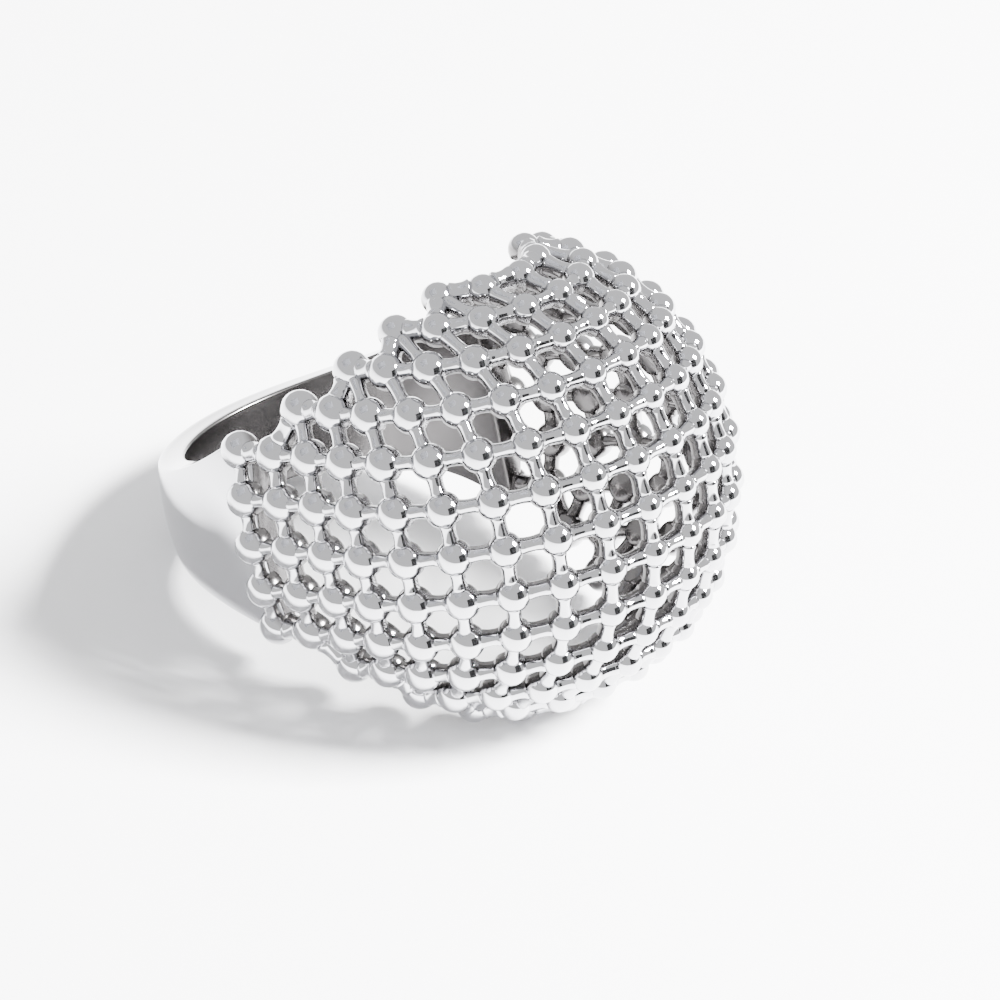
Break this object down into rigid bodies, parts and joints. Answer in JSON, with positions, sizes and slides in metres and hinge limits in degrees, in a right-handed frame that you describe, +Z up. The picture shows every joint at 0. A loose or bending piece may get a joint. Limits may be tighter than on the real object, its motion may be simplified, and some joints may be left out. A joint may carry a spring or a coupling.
{
  "type": "dome ring",
  "caption": "Finger ring with a domed front of round beads joined by short bars into an open net, running into a smooth crowned shank, lying on its side.",
  "frame": {"origin": "on the floor under the middle of the ring's box, as the ring lies on its side", "axes": "+Z is up, +X points from the shank's back to the front of the dome, +Y is across the finger hole"},
  "size_m": [0.0296, 0.0238, 0.0217],
  "materials": {
    "silver": "polished"
  },
  "bodies": {
    "root": {"ring": "silver"}
  },
  "joints": []
}
